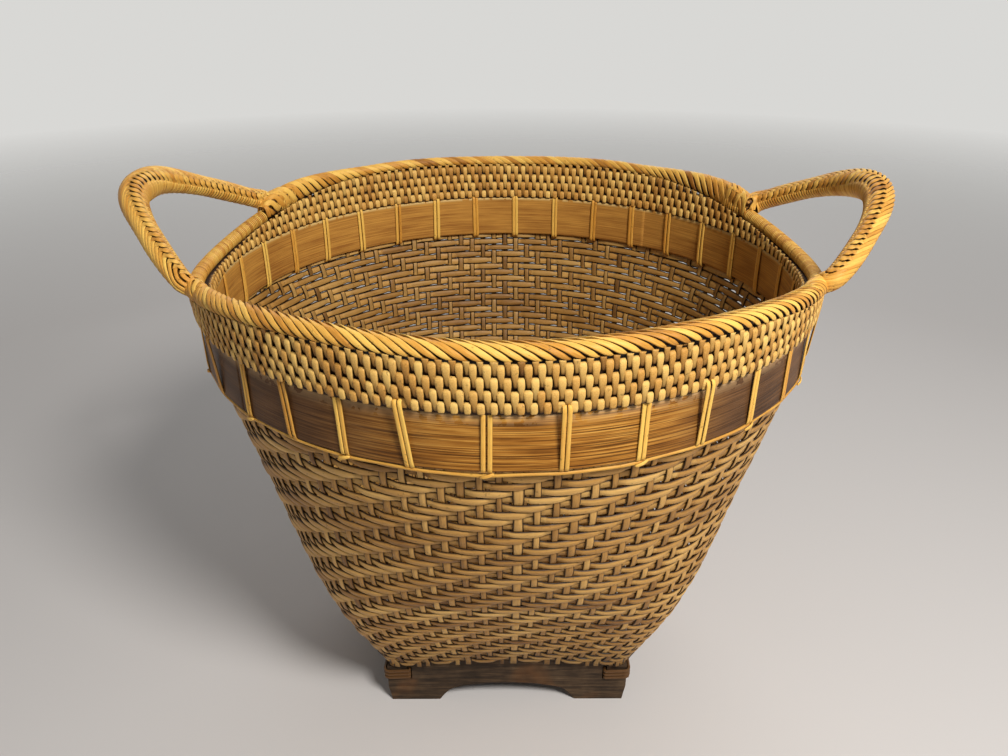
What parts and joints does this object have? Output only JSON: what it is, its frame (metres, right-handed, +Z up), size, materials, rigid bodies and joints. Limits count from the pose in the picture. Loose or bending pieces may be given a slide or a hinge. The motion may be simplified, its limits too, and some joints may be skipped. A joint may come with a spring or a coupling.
{
  "type": "handled basket",
  "caption": "Round-mouthed cane basket on a square arched wooden foot, with a lashed bamboo hoop, a wrapped rim and fixed loop handles, for holding loose things.",
  "frame": {"origin": "on the ground, at the middle of the square foot", "axes": "+Z up along the basket's middle, X through both handles, -Y the front"},
  "size_m": [0.4833, 0.3994, 0.3669],
  "materials": {
    "golden_cane": "satin split cane, golden, darker between strips",
    "aged_cane": "satin woven cane, tan with olive shade",
    "dark_bamboo": "polished bamboo strip, orange brown with dark grain",
    "golden_bamboo": "polished bamboo strip, golden",
    "weathered_wood": "weathered matte wood, grey brown, dark stains",
    "dark_cane": "aged dark cane"
  },
  "bodies": {
    "root": {"foot_board_front": "weathered_wood", "foot_board_back": "weathered_wood", "foot_board_right": "weathered_wood", "foot_board_left": "weathered_wood", "corner_lashing_front_right": "dark_cane", "corner_lashing_back_right": "dark_cane", "corner_lashing_back_left": "dark_cane", "corner_lashing_front_left": "dark_cane", "floor_weave": "aged_cane", "body_weave": "aged_cane", "outer_hoop": "dark_bamboo", "inner_hoop": "golden_bamboo", "hoop_lashing_01": "golden_cane", "hoop_lashing_02": "golden_cane", "hoop_lashing_03": "golden_cane", "hoop_lashing_04": "golden_cane", "hoop_lashing_05": "golden_cane", "hoop_lashing_06": "golden_cane", "hoop_lashing_07": "golden_cane", "hoop_lashing_08": "golden_cane", "hoop_lashing_09": "golden_cane", "hoop_lashing_10": "golden_cane", "hoop_lashing_11": "golden_cane", "hoop_lashing_12": "golden_cane", "hoop_lashing_13": "golden_cane", "hoop_lashing_14": "golden_cane", "hoop_lashing_15": "golden_cane", "hoop_lashing_16": "golden_cane", "hoop_lashing_17": "golden_cane", "hoop_lashing_18": "golden_cane", "hoop_lashing_19": "golden_cane", "hoop_lashing_20": "golden_cane", "hoop_lashing_21": "golden_cane", "hoop_lashing_22": "golden_cane", "hoop_lashing_23": "golden_cane", "hoop_lashing_24": "golden_cane", "hoop_lashing_25": "golden_cane", "hoop_lashing_26": "golden_cane", "hoop_lashing_27": "golden_cane", "hoop_lashing_28": "golden_cane", "hoop_lashing_29": "golden_cane", "hoop_lashing_30": "golden_cane", "hoop_lashing_31": "golden_cane", "hoop_lashing_32": "golden_cane", "hoop_lashing_33": "golden_cane", "hoop_lashing_34": "golden_cane", "lashing_runner": "golden_cane", "collar_weave": "golden_cane", "rim_core": "golden_cane", "rim_wrap_front": "golden_cane", "rim_wrap_back": "golden_cane", "rim_edging_right": "golden_cane", "rim_edging_left": "golden_cane", "handle_core_right": "golden_cane", "handle_wrap_right": "golden_cane", "handle_core_left": "golden_cane", "handle_wrap_left": "golden_cane"}
  },
  "joints": []
}
